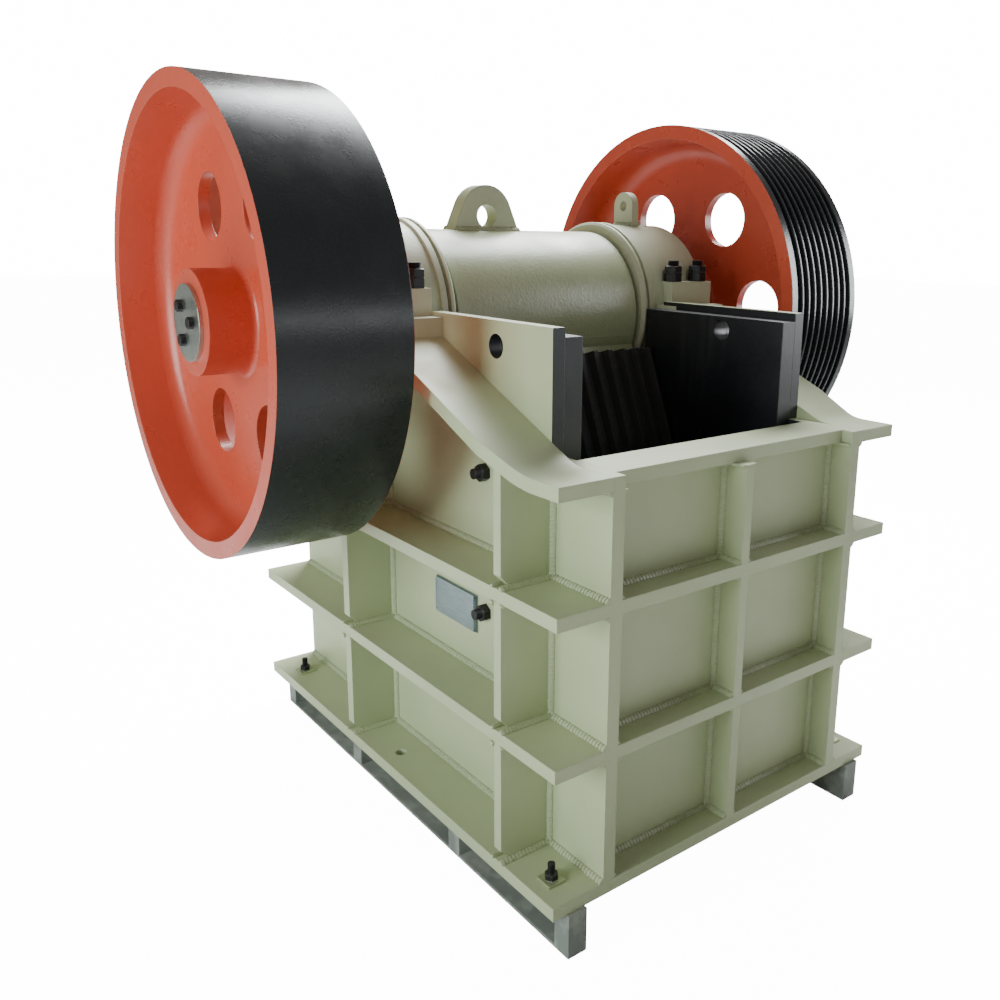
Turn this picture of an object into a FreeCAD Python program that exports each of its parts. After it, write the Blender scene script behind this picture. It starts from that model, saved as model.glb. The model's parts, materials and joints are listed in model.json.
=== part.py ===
import FreeCAD, Part
import math
import os

# Jaw crusher: a welded box frame on two shipping rails, a swing jaw (pitman) hung on an
# eccentric shaft, a plain flywheel on the left end of the shaft and a grooved one on the right.
# Millimetres. X runs along the shaft, Y from the feed front to the rear, Z up. While the pieces
# are built, Y is counted from the front face and Z from the underside of the base plate; each
# piece is then moved so that the origin lies on the floor below the middle of the machine.

Vector = FreeCAD.Vector
X_AXIS = Vector(1, 0, 0)
Y_AXIS = Vector(0, 1, 0)
Z_AXIS = Vector(0, 0, 1)

# ---- driving dimensions ----

# Box frame
body_half_width = 389.0      # centre to the outer face of a side plate
body_length = 1416.0         # side plates, front to rear
side_plate_t = 31.0
flange_reach = 131.0         # how far the levels and ribs stand out from the side plates
flange_overhang = 7.0        # how far the levels run past the rear end
flange_t = 29.0
lower_rib_z = 305.0          # undersides of the three upper levels of flange
upper_rib_z = 618.0
top_flange_z = 869.0
cheek_front_y = 190.0        # front edge of the side plates above the top flange
cheek_top_z = 1160.0
rear_top_z = 700.0           # height of the side plates at the rear end
rear_slope_y = 1290.0        # where the rear slope of the side plates meets the bearing seat
rear_step = 60.0             # upright step between that slope and the top
base_lip = 30.0              # how far the base plate reaches inside the box
sight_hole_y = 388.0
sight_hole_z = 1105.0
sight_hole_r = 26.0

# Front wall
front_wall_y = 65.0          # depth of the front pockets
front_wall_t = 35.0
front_rib_t = 24.0           # upright rib in the middle of the front
front_beam_y = 30.0
front_beam_end_y = 148.0

# Upright ribs on the sides
side_rib_front_y = 182.0
side_rib_front_t = 25.0
side_rib_rear_y = 869.0
side_rib_rear_t = 30.0
rib_foot_chamfer = 28.0

# Bent top flange
slope_angle = 23.0           # rise of the sloping stretch, degrees
slope_start_y = 112.0        # where the flat front stretch ends
slope_flare = 22.0           # how much wider the sloping stretch is
slope_flare_length = 120.0
bend_r = 150.0               # inside radius of the bend between the two stretches

# Shaft
shaft_y = 915.0
throw = 12.0                 # offset of the eccentric journal from the shaft
wheel_shaft_r = 75.0
bearing_shaft_r = 95.0
eccentric_r = 110.0
running_clearance = 0.1
journal_gap = 4.0            # end of the barrel to the shoulder of the shaft
hub_gap = 6.0                # inner end of a hub to the shoulder of the shaft

# Wheels
wheel_r = 533.0
wheel_width = 285.0
wheel_gap = 42.5             # side of a bearing housing to the inner face of a wheel
rim_t = 48.0
rim_fillet = 50.0            # between the web and the inside of the rim
rim_draft = 8.0              # how much the rim thins towards its edges
web_t = 28.0
web_hole_r = 80.0
web_hole_pitch_r = 297.0
web_hole_count = 6
hub_r = 120.0
hub_fillet = 14.0
hub_inset = 20.5             # outer face of a wheel to the outer end of its hub
hub_clearance = 11.0         # side of a bearing housing to the inner end of a hub
groove_count = 9
groove_pitch = 27.0
groove_top = 22.0
groove_bottom = 12.0
groove_depth = 19.0
end_disc_r = 87.0
end_disc_t = 10.0
end_bolt_count = 3
end_bolt_start = 56.0        # place of the first bolt, degrees from the rear upwards
end_bolt_pitch_r = 44.0
end_bolt_af = 24.0           # width across the flats of the hexagon
end_bolt_h = 13.0

# Bearing housings
housing_overlap = 13.0       # how far a housing reaches inside its side plate
housing_width = 200.0
housing_r = 236.0
seat_drop = 10.0             # top of the side plate down to the split between seat and cap
shaft_drop = 17.0            # the split down to the shaft's axis
seat_ear_reach = 79.0        # side of the housing to the end of the seat's ears
seat_ear_t = 70.0
cap_ear_reach = 29.0         # side of the housing to the end of the cap's ears
cap_ear_t = 63.0
cap_bolt_inner = 28.0        # side plate to the inner row of studs
cap_bolt_outer = 31.0        # side of the housing to the outer row
cap_bolt_end = 27.0          # end of a cap to its studs
cap_bolt_r = 15.0
cap_hole_clearance = 1.0
cap_spot_r = 31.0            # pocket in the dome for the nut
cap_nut_af = 44.0
cap_nut_h = 26.0
cap_lock_nut_h = 18.0
cap_bolt_stick_out = 58.0    # top of the ear to the end of the stud
cap_bolt_depth = 60.0
seal_t = 42.0
seal_lip = 6.0               # how far the cover ring stands proud of the housing
seal_groove_r = 226.0
seal_groove_w = 10.0
seal_chamfer = 8.0
eye_plate_t = 25.0
eye_r = 40.0                 # round top of the eye plate
eye_hole_r = 14.5
eye_rise = 55.0              # top of the housing to the centre of the eye
eye_sink = 8.0               # how far the foot reaches into the curve of the cap

# Pitman (swing jaw)
pitman_r = 226.0
pitman_gap = 13.0            # end of the barrel to the cover ring
skirt_drop = 67.0            # the skirt hangs from the barrel over the top of the jaw
skirt_inset = 6.0
pitman_toe_depth = 110.0
pitman_back_y = 665.0        # knee in the back of the pitman
pitman_back_z = 430.0
pitman_back_lean = 30.0
jaw_gap = 13.0               # side of a jaw plate to the cheek plate
jaw_t = 62.0
tooth_pitch = 50.0
tooth_depth = 18.0
tooth_flat = 12.0
jaw_bottom_z = 62.0
jaw_top_gap = 26.0           # under the skirt
gape = 405.0                 # opening between the jaws at the top of the fixed jaw
discharge = 78.0             # opening between the jaws at the bottom
ring_plate_t = 45.0
ring_outer_r = 80.0
ring_hole_r = 30.0
ring_foot_half_width = 108.0
ring_side_lean = 20.0        # degrees
ring_sink = 12.0
ring_centre_x = -72.0
ring_rise = 36.0             # top of the barrel to the centre of the ring's hole

# Cheek plates
cheek_plate_t = 45.0
cheek_plate_drop = 20.0      # below the top of the side plate
cheek_plate_gap = 7.0        # rear edge to the bearing seat
cheek_plate_knee_z = 860.0
cheek_plate_toe = 60.0       # past the swing jaw's face at the bottom
cheek_bolt_y = 430.0
cheek_bolt_z = (489.0, 821.0)
cheek_bolt_r = 12.0
cheek_nut_af = 36.0
cheek_nut_h = 19.0
cheek_bolt_end = 34.0
cheek_bolt_sink = 12.0

# Toggle and rear
rear_wall_t = 30.0
rear_beam_z = 330.0
rear_beam_h = 230.0
rear_beam_depth = 190.0
toggle_t = 40.0
toggle_inset = 20.0          # end of the pitman's barrel to the end of the toggle plate
toggle_front_y = 590.0
toggle_front_z = 232.0
toggle_open_gap = 30.0
toggle_seat = 60.0           # depth and half height of the toggle's seat on the pitman

# Base bolts and skid
base_bolt_inset = 52.0       # edge of the base plate to the row of bolts
base_bolt_front_y = 74.0
base_bolt_middle_y = 710.0
base_bolt_rear = 120.0       # rear edge of the base plate to the last bolt
base_hole_r = 14.0
base_bolt_r = 8.0
base_nut_af = 26.0
base_nut_h = 13.0
base_washer_side = 44.0
base_washer_t = 6.0
base_bolt_stick_out = 35.0   # top of the washer to the end of the bolt
base_bolt_tail = 14.0        # below the rail's upper flange
skid_h = 100.0
rail_inset = 34.0            # edge of the base plate to the outside of a rail
rail_width = 48.0
rail_wall = 7.0
rail_front_y = -8.0
rail_rear_inset = 24.0
rail_block_length = 46.0
rail_block_middle_y = (405.0, 905.0)
cross_y = (250.0, 660.0, 1290.0)
cross_width = 60.0

# Nameplate
nameplate_y = 464.0
nameplate_z = 425.0
nameplate_w = 181.0
nameplate_h = 93.0
nameplate_t = 3.0

# ---- sizes worked out from them ----

side_inner_x = body_half_width - side_plate_t
flange_half_width = body_half_width + flange_reach
flange_length = body_length + flange_overhang
slope_half_width = flange_half_width + slope_flare
cheek_inner_x = side_inner_x - cheek_plate_t
jaw_half_width = cheek_inner_x - jaw_gap
housing_inner_x = side_inner_x - housing_overlap
housing_outer_x = housing_inner_x + housing_width
seal_inner_x = housing_inner_x - seal_t
pitman_half_width = seal_inner_x - pitman_gap
toggle_half_width = pitman_half_width - toggle_inset
wheel_inner_x = housing_outer_x + wheel_gap
wheel_outer_x = wheel_inner_x + wheel_width
hub_inner_x = housing_outer_x + hub_clearance
hub_outer_x = wheel_outer_x - hub_inset
seat_half_length = housing_r + seat_ear_reach
cap_half_length = housing_r + cap_ear_reach
seal_ring_r = housing_r + seal_lip
cheek_plate_rear_y = shaft_y - housing_r - cheek_plate_gap
seat_z = cheek_top_z - seat_drop
shaft_z = seat_z - shaft_drop
eccentric_z = shaft_z - throw
skirt_bottom_z = shaft_z - skirt_drop
cap_bolt_x = (body_half_width + cap_bolt_inner, housing_outer_x - cap_bolt_outer)
cap_bolt_half_pitch = cap_half_length - cap_bolt_end
fixed_jaw_top_z = top_flange_z
jaw_face_y = front_wall_y + front_wall_t + jaw_t
jaw_lean = (gape - discharge) / (fixed_jaw_top_z - jaw_bottom_z)
jaw_angle = math.atan(jaw_lean)
base_bolt_x = flange_half_width - base_bolt_inset
base_bolt_y = (base_bolt_front_y, base_bolt_middle_y, flange_length - base_bolt_rear)
rail_outer_x = flange_half_width - rail_inset
rail_rear_y = body_length - rail_rear_inset
rail_block_y = (rail_front_y, *rail_block_middle_y, rail_rear_y - rail_block_length)
centre_y = (rail_front_y + shaft_y + wheel_r) / 2.0
past = 1.0                   # how far a cutting tool reaches past the piece


# ---- helpers ----

def box(x0, x1, y0, y1, z0, z1):
    return Part.makeBox(x1 - x0, y1 - y0, z1 - z0, Vector(x0, y0, z0))


def side_prism(points, x0, x1):
    """A prism along X with the outline (y, z) given."""
    corners = [Vector(x0, y, z) for y, z in points]
    face = Part.Face(Part.makePolygon(corners + [corners[0]]))
    return face.extrude(Vector(x1 - x0, 0, 0))


def plan_prism(points, z0, z1):
    """A prism along Z with the outline (x, y) given."""
    corners = [Vector(x, y, z0) for x, y in points]
    face = Part.Face(Part.makePolygon(corners + [corners[0]]))
    return face.extrude(Vector(0, 0, z1 - z0))


def x_cylinder(r, x0, x1, y=shaft_y, z=shaft_z):
    return Part.makeCylinder(r, x1 - x0, Vector(x0, y, z), X_AXIS)


def z_cylinder(r, x, y, z0, z1):
    return Part.makeCylinder(r, z1 - z0, Vector(x, y, z0), Z_AXIS)


def turned(profile, y=shaft_y, z=shaft_z):
    """A solid of revolution about an axis along X, from its (x, radius) outline."""
    corners = [Vector(x, y, z + r) for x, r in profile]
    face = Part.Face(Part.makePolygon(corners + [corners[0]]))
    return face.revolve(Vector(0, y, z), X_AXIS, 360)


def hexagon(af, height, base, axis):
    """A nut or bolt head, af across the flats, on the point base, its outer corners turned off."""
    r = af / math.sqrt(3.0)
    corners = [Vector(r * math.cos(math.radians(60 * i)), r * math.sin(math.radians(60 * i)), 0)
               for i in range(7)]
    prism = Part.Face(Part.makePolygon(corners)).extrude(Vector(0, 0, height))
    top_r = 0.95 * af / 2
    cone = Part.makeCone(top_r + height * math.sqrt(3.0), top_r, height)
    head = prism.common(cone)
    head.Placement = FreeCAD.Placement(base, FreeCAD.Rotation(Z_AXIS, axis))
    return head


def rounded(shape, radius, circles):
    """Fillet the circular edges about the shaft that have the (x, radius) given."""
    edges = [edge for edge in shape.Edges if hasattr(edge.Curve, "Radius")
             and any(abs(edge.Curve.Center.x - x) < past and abs(edge.Curve.Radius - r) < past
                     for x, r in circles)]
    return shape.makeFillet(radius, edges)


def mirrored(shape):
    """The same piece on the other side of the machine."""
    return shape.mirror(Vector(0, 0, 0), X_AXIS)


def joined(pieces):
    shape = pieces[0]
    for piece in pieces[1:]:
        shape = shape.fuse(piece)
    return shape.removeSplitter()


def export(name, shape):
    shape = shape.copy()
    shape.translate(Vector(0, -centre_y, skid_h))
    shape.exportStep("parts/" + name + ".step")


def export_pair(name, right):
    export(name + "_right", right)
    export(name + "_left", mirrored(right))


# ---- box frame ----

def base_plate():
    plate = box(-flange_half_width, flange_half_width, 0, flange_length, 0, flange_t)
    well = box(-side_inner_x + base_lip, side_inner_x - base_lip,
               front_wall_y + front_wall_t + base_lip, body_length - rear_wall_t - base_lip,
               -past, flange_t + past)
    plate = plate.cut(well)
    for side in (-1, 1):
        for y in base_bolt_y:
            plate = plate.cut(z_cylinder(base_hole_r, side * base_bolt_x, y, -past, flange_t + past))
    return plate


def side_plate():
    outline = [(0, flange_t), (body_length, flange_t), (body_length, rear_top_z),
               (rear_slope_y, cheek_top_z - rear_step), (rear_slope_y, cheek_top_z),
               (cheek_front_y, cheek_top_z), (cheek_front_y, top_flange_z + flange_t),
               (0, top_flange_z + flange_t)]
    plate = side_prism(outline, side_inner_x, body_half_width)
    plate = plate.cut(seat_block(0))
    plate = plate.cut(box(side_inner_x - past, body_half_width + past, shaft_y - cap_half_length,
                          rear_slope_y + past, seat_z, cheek_top_z + past))
    plate = plate.cut(x_cylinder(sight_hole_r, side_inner_x - past, body_half_width + past,
                                 sight_hole_y, sight_hole_z))
    for z in cheek_bolt_z:
        plate = plate.cut(x_cylinder(cheek_bolt_r, side_inner_x - past, body_half_width + past,
                                     cheek_bolt_y, z))
    return plate


def front_wall():
    return box(-side_inner_x, side_inner_x, front_wall_y, front_wall_y + front_wall_t,
               flange_t, top_flange_z)


def front_cross_rib(z):
    return box(-side_inner_x, side_inner_x, 0, front_wall_y, z, z + flange_t)


def front_centre_rib():
    levels = [(flange_t, lower_rib_z), (lower_rib_z + flange_t, upper_rib_z),
              (upper_rib_z + flange_t, top_flange_z)]
    pieces = [box(-front_rib_t / 2, front_rib_t / 2, 0, front_wall_y, z0, z1) for z0, z1 in levels]
    return Part.makeCompound(pieces)


def front_beam():
    return box(-side_inner_x, side_inner_x, front_beam_y, front_beam_end_y,
               top_flange_z, top_flange_z + flange_t)


def side_level(z):
    return box(body_half_width, flange_half_width, 0, flange_length, z, z + flange_t)


def upright(y, thickness, z0, z1):
    """One stretch of an upright side rib, with its outer lower corner cut off."""
    corners = [Vector(body_half_width, y, z0), Vector(flange_half_width - rib_foot_chamfer, y, z0),
               Vector(flange_half_width, y, z0 + rib_foot_chamfer),
               Vector(flange_half_width, y, z1), Vector(body_half_width, y, z1)]
    face = Part.Face(Part.makePolygon(corners + [corners[0]]))
    return face.extrude(Vector(0, thickness, 0))


def slope_z(y):
    """Height of the upper face of the sloping stretch of the top flange."""
    start = top_flange_z + flange_t
    return start + (y - slope_start_y) * math.tan(math.radians(slope_angle))


def top_flange():
    """Flat front stretch, bend and sloping stretch that ends at the bearing seat."""
    tangent = bend_r * math.tan(math.radians(slope_angle / 2))
    top = top_flange_z + flange_t
    slope = math.radians(slope_angle)
    end_y = shaft_y - seat_half_length
    bend_start = Vector(0, slope_start_y - tangent, top)
    bend_mid = Vector(0, slope_start_y - tangent + bend_r * math.sin(slope / 2),
                      top + bend_r * (1 - math.cos(slope / 2)))
    bend_end = Vector(0, slope_start_y + tangent * math.cos(slope), top + tangent * math.sin(slope))
    outer_r = bend_r + flange_t
    low_start = bend_start - Vector(0, 0, flange_t)
    low_mid = Vector(0, slope_start_y - tangent + outer_r * math.sin(slope / 2),
                     top + bend_r - outer_r * math.cos(slope / 2))
    low_end = bend_end + Vector(0, flange_t * math.sin(slope), -flange_t * math.cos(slope))
    low_drop = flange_t / math.cos(slope)
    edges = [
        Part.makeLine(Vector(0, 0, top), bend_start),
        Part.Arc(bend_start, bend_mid, bend_end).toShape(),
        Part.makeLine(bend_end, Vector(0, end_y, slope_z(end_y))),
        Part.makeLine(Vector(0, end_y, slope_z(end_y)), Vector(0, end_y, slope_z(end_y) - low_drop)),
        Part.makeLine(Vector(0, end_y, slope_z(end_y) - low_drop), low_end),
        Part.Arc(low_end, low_mid, low_start).toShape(),
        Part.makeLine(low_start, Vector(0, 0, top_flange_z)),
        Part.makeLine(Vector(0, 0, top_flange_z), Vector(0, 0, top)),
    ]
    face = Part.Face(Part.Wire(edges))
    face.translate(Vector(body_half_width, 0, 0))
    plate = face.extrude(Vector(slope_half_width - body_half_width, 0, 0))
    flare_y = slope_start_y + slope_flare_length
    outline = [(body_half_width, 0), (flange_half_width, 0), (flange_half_width, slope_start_y),
               (slope_half_width, flare_y), (slope_half_width, end_y), (body_half_width, end_y)]
    return plate.common(plan_prism(outline, 0, cheek_top_z))


def side_ribs(y, thickness, ceiling):
    """Three stretches of one rib; the highest is trimmed to what it carries."""
    low = upright(y, thickness, flange_t, lower_rib_z)
    middle = upright(y, thickness, lower_rib_z + flange_t, upper_rib_z)
    high = upright(y, thickness, upper_rib_z + flange_t, seat_z)
    return Part.makeCompound([low, middle, high.cut(ceiling)])


def above_top_flange():
    """The space over the underside of the sloping stretch, as far as the shaft."""
    drop = flange_t / math.cos(math.radians(slope_angle))
    return side_prism([(slope_start_y, slope_z(slope_start_y) - drop),
                       (shaft_y, slope_z(shaft_y) - drop), (slope_start_y, slope_z(shaft_y) - drop)],
                      body_half_width, slope_half_width)


def above_bearing_seat():
    """The bearing seat and the space over it."""
    return seat_block(0).fuse(box(housing_inner_x, housing_outer_x, shaft_y - housing_r,
                                  shaft_y + housing_r, shaft_z, seat_z))


# ---- rear and toggle ----

def rear_wall():
    return box(-side_inner_x, side_inner_x, body_length - rear_wall_t, body_length,
               flange_t, rear_top_z)


def rear_beam():
    y0 = body_length - rear_wall_t - rear_beam_depth
    return box(-side_inner_x, side_inner_x, y0, body_length - rear_wall_t,
               rear_beam_z, rear_beam_z + rear_beam_h)


def toggle_plate():
    """Flat plate with rounded ends, leaning from the rear beam down to the pitman's toe."""
    rear_y = body_length - rear_wall_t - rear_beam_depth - toggle_t / 2
    rear_z = rear_beam_z + rear_beam_h / 2
    run = Vector(0, rear_y - toggle_front_y - toggle_open_gap, rear_z - toggle_front_z)
    front = Vector(-toggle_half_width, toggle_front_y + toggle_open_gap, toggle_front_z)
    rear = front + run
    across = Vector(0, -run.z, run.y).normalize() * (toggle_t / 2)
    corners = [front + across, rear + across, rear - across, front - across, front + across]
    plate = Part.Face(Part.makePolygon(corners)).extrude(Vector(2 * toggle_half_width, 0, 0))
    ends = [x_cylinder(toggle_t / 2, -toggle_half_width, toggle_half_width, end.y, end.z)
            for end in (front, rear)]
    return joined([plate] + ends)


# ---- jaws ----

def teeth_cutter(length, shift):
    """Upright V grooves across a jaw face that lies in the plane y = 0, facing -Y."""
    grooves = []
    count = int(2 * jaw_half_width // tooth_pitch)
    first = -tooth_pitch * (count - 1) / 2
    half = (tooth_pitch - tooth_flat) / 2
    for i in range(count + 1):
        x = first + (i - 0.5 + shift) * tooth_pitch
        corners = [Vector(x - half, -past, 0), Vector(x + half, -past, 0),
                   Vector(x + tooth_flat / 2, tooth_depth, 0),
                   Vector(x - tooth_flat / 2, tooth_depth, 0)]
        face = Part.Face(Part.makePolygon(corners + [corners[0]]))
        grooves.append(face.extrude(Vector(0, 0, length)))
    return Part.makeCompound(grooves)


def fixed_jaw_plate():
    height = fixed_jaw_top_z - jaw_bottom_z
    plate = box(-jaw_half_width, jaw_half_width, -jaw_t, 0, 0, height)
    grooves = teeth_cutter(height, 0.0)
    grooves.rotate(Vector(0, 0, 0), Z_AXIS, 180)
    plate = plate.cut(grooves)
    plate.translate(Vector(0, jaw_face_y, jaw_bottom_z))
    return plate


def swing_face_y(z):
    """Y of the swing jaw's working face at height z."""
    return jaw_face_y + discharge + (z - jaw_bottom_z) * jaw_lean


def swing_jaw_plate():
    top_z = skirt_bottom_z - jaw_top_gap
    length = (top_z - jaw_bottom_z) / math.cos(jaw_angle)
    plate = box(-jaw_half_width, jaw_half_width, 0, jaw_t, 0, length)
    plate = plate.cut(teeth_cutter(length, 0.5))
    plate.rotate(Vector(0, 0, 0), X_AXIS, -math.degrees(jaw_angle))
    plate.translate(Vector(0, swing_face_y(jaw_bottom_z), jaw_bottom_z))
    return plate


def pitman():
    """Casting from the barrel round the eccentric down to the toe behind the swing jaw."""
    back = jaw_t / math.cos(jaw_angle)
    skirt_y = shaft_y - pitman_r + skirt_inset
    toe_y = swing_face_y(jaw_bottom_z) + back
    seat_y = toggle_front_y - toggle_seat
    outline = [(skirt_y, eccentric_z), (skirt_y, skirt_bottom_z),
               (swing_face_y(skirt_bottom_z) + back, skirt_bottom_z), (toe_y, jaw_bottom_z),
               (toe_y + pitman_toe_depth, jaw_bottom_z), (seat_y, toggle_front_z - toggle_seat),
               (seat_y, toggle_front_z + toggle_seat), (pitman_back_y, pitman_back_z),
               (shaft_y - pitman_back_lean, eccentric_z - pitman_r + skirt_inset),
               (shaft_y, eccentric_z)]
    leg = side_prism(outline, -pitman_half_width, pitman_half_width)
    barrel = x_cylinder(pitman_r, -pitman_half_width, pitman_half_width, shaft_y, eccentric_z)
    bore = x_cylinder(eccentric_r + running_clearance, -pitman_half_width - past,
                      pitman_half_width + past, shaft_y, eccentric_z)
    return leg.fuse(barrel).cut(bore).removeSplitter()


def pitman_ring():
    """Lifting ring plate that stands on the barrel, across the machine."""
    centre_z = eccentric_z + pitman_r + ring_rise
    y0 = shaft_y - ring_plate_t / 2
    disc = Part.makeCylinder(ring_outer_r, ring_plate_t, Vector(ring_centre_x, y0, centre_z), Y_AXIS)
    lean = math.radians(ring_side_lean)
    side_x = ring_outer_r * math.cos(lean)
    side_z = centre_z + ring_outer_r * math.sin(lean)
    foot_z = eccentric_z + pitman_r - ring_sink
    corners = [Vector(ring_centre_x - ring_foot_half_width, y0, foot_z),
               Vector(ring_centre_x + ring_foot_half_width, y0, foot_z),
               Vector(ring_centre_x + side_x, y0, side_z), Vector(ring_centre_x - side_x, y0, side_z)]
    foot = Part.Face(Part.makePolygon(corners + [corners[0]])).extrude(Vector(0, ring_plate_t, 0))
    hole = Part.makeCylinder(ring_hole_r, ring_plate_t + 2 * past,
                             Vector(ring_centre_x, y0 - past, centre_z), Y_AXIS)
    barrel = x_cylinder(pitman_r, -pitman_half_width, pitman_half_width, shaft_y, eccentric_z)
    return disc.fuse(foot).cut(hole).cut(barrel).removeSplitter()


def cheek_plate():
    top_z = cheek_top_z - cheek_plate_drop
    outline = [(jaw_face_y, jaw_bottom_z),
               (swing_face_y(jaw_bottom_z) + cheek_plate_toe, jaw_bottom_z),
               (cheek_plate_rear_y, cheek_plate_knee_z), (cheek_plate_rear_y, top_z),
               (cheek_front_y, top_z), (cheek_front_y, fixed_jaw_top_z),
               (jaw_face_y, fixed_jaw_top_z)]
    plate = side_prism(outline, cheek_inner_x, side_inner_x)
    plate = plate.cut(x_cylinder(sight_hole_r, cheek_inner_x - past, side_inner_x + past,
                                 sight_hole_y, sight_hole_z))
    for z in cheek_bolt_z:
        plate = plate.cut(x_cylinder(cheek_bolt_r, cheek_inner_x - past, side_inner_x + past,
                                     cheek_bolt_y, z))
    return plate


def cheek_bolts():
    bolts = []
    for z in cheek_bolt_z:
        shank = x_cylinder(cheek_bolt_r, cheek_inner_x + cheek_bolt_sink,
                           body_half_width + cheek_bolt_end, cheek_bolt_y, z)
        nut = hexagon(cheek_nut_af, cheek_nut_h, Vector(body_half_width, cheek_bolt_y, z), X_AXIS)
        bolts.append(joined([shank, nut]))
    return Part.makeCompound(bolts)


# ---- bearing housings ----

def seat_block(bore_r):
    """Lower half of a housing, let into the side plate; bore_r of 0 leaves it solid."""
    ears = box(side_inner_x, housing_outer_x, shaft_y - seat_half_length,
               shaft_y + seat_half_length, seat_z - seat_ear_t, seat_z)
    bowl = x_cylinder(housing_r, housing_inner_x, housing_outer_x)
    bowl = bowl.cut(box(housing_inner_x, housing_outer_x, shaft_y - housing_r,
                        shaft_y + housing_r, seat_z, shaft_z + housing_r))
    block = joined([ears, bowl])
    if bore_r:
        block = block.cut(x_cylinder(bore_r, housing_inner_x - past, housing_outer_x + past))
    return block


def cap_bolt_places():
    return [(x, shaft_y + side * cap_bolt_half_pitch) for x in cap_bolt_x for side in (-1, 1)]


def bearing_cap():
    """Upper half of a housing: a half-round dome and, beside the side plate, two bolted ears."""
    ears = box(body_half_width, housing_outer_x, shaft_y - cap_half_length,
               shaft_y + cap_half_length, seat_z, seat_z + cap_ear_t)
    dome = x_cylinder(housing_r, housing_inner_x, housing_outer_x)
    dome = dome.cut(box(housing_inner_x, housing_outer_x, shaft_y - housing_r,
                        shaft_y + housing_r, shaft_z - housing_r, seat_z))
    cap = joined([ears, dome])
    cap = cap.cut(x_cylinder(bearing_shaft_r + running_clearance, housing_inner_x - past,
                             housing_outer_x + past))
    ear_top_z = seat_z + cap_ear_t
    for x, y in cap_bolt_places():
        cap = cap.cut(z_cylinder(cap_bolt_r + cap_hole_clearance, x, y, seat_z - past,
                                 ear_top_z + past))
        cap = cap.cut(z_cylinder(cap_spot_r, x, y, ear_top_z, ear_top_z + housing_r))
    return cap


def bearing_seat():
    seat = seat_block(bearing_shaft_r + running_clearance)
    for x, y in cap_bolt_places():
        seat = seat.cut(z_cylinder(cap_bolt_r + cap_hole_clearance, x, y,
                                   seat_z - cap_bolt_depth, seat_z + past))
    return seat


def cap_bolts():
    """Four studs, each with a nut and a lower lock nut on it."""
    top = seat_z + cap_ear_t
    bolts = []
    for x, y in cap_bolt_places():
        shank = z_cylinder(cap_bolt_r, x, y, seat_z - cap_bolt_depth, top + cap_bolt_stick_out)
        nut = hexagon(cap_nut_af, cap_nut_h, Vector(x, y, top), Z_AXIS)
        lock_nut = hexagon(cap_nut_af, cap_lock_nut_h, Vector(x, y, top + cap_nut_h), Z_AXIS)
        bolts.append(joined([shank, nut, lock_nut]))
    return Part.makeCompound(bolts)


def seal_ring():
    """Grooved ring cover between the housing and the end of the pitman barrel."""
    bore_r = bearing_shaft_r + running_clearance
    groove_x = (seal_inner_x + housing_inner_x) / 2
    return turned([(seal_inner_x, bore_r), (seal_inner_x, seal_ring_r - seal_chamfer),
                   (seal_inner_x + seal_chamfer, seal_ring_r),
                   (groove_x - seal_groove_w / 2, seal_ring_r),
                   (groove_x - seal_groove_w / 2, seal_groove_r),
                   (groove_x + seal_groove_w / 2, seal_groove_r),
                   (groove_x + seal_groove_w / 2, seal_ring_r),
                   (housing_inner_x, seal_ring_r), (housing_inner_x, bore_r)])


def cap_eye():
    """Eye plate with a round top, standing across the top of a cap."""
    x0 = (housing_inner_x + housing_outer_x - eye_plate_t) / 2
    x1 = x0 + eye_plate_t
    centre_z = shaft_z + housing_r + eye_rise
    disc = x_cylinder(eye_r, x0, x1, shaft_y, centre_z)
    foot = box(x0, x1, shaft_y - eye_r, shaft_y + eye_r, shaft_z + housing_r - eye_sink, centre_z)
    hole = x_cylinder(eye_hole_r, x0 - past, x1 + past, shaft_y, centre_z)
    dome = x_cylinder(housing_r, housing_inner_x, housing_outer_x)
    return joined([disc, foot]).cut(hole).cut(dome)


# ---- rotor ----

def eccentric_shaft():
    bearing_x = hub_inner_x - hub_gap
    journal_x = pitman_half_width + journal_gap
    profile = [(-hub_outer_x, 0), (-hub_outer_x, wheel_shaft_r), (-bearing_x, wheel_shaft_r),
               (-bearing_x, bearing_shaft_r), (bearing_x, bearing_shaft_r),
               (bearing_x, wheel_shaft_r), (hub_outer_x, wheel_shaft_r), (hub_outer_x, 0)]
    journal = x_cylinder(eccentric_r, -journal_x, journal_x, shaft_y, eccentric_z)
    return turned(profile).fuse(journal).removeSplitter()


def belt_groove(x):
    """Ring that a V-belt groove with its middle at x leaves out of the rim."""
    return turned([(x - groove_top / 2, wheel_r + past), (x - groove_bottom / 2, wheel_r - groove_depth),
                   (x + groove_bottom / 2, wheel_r - groove_depth),
                   (x + groove_top / 2, wheel_r + past)])


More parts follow.
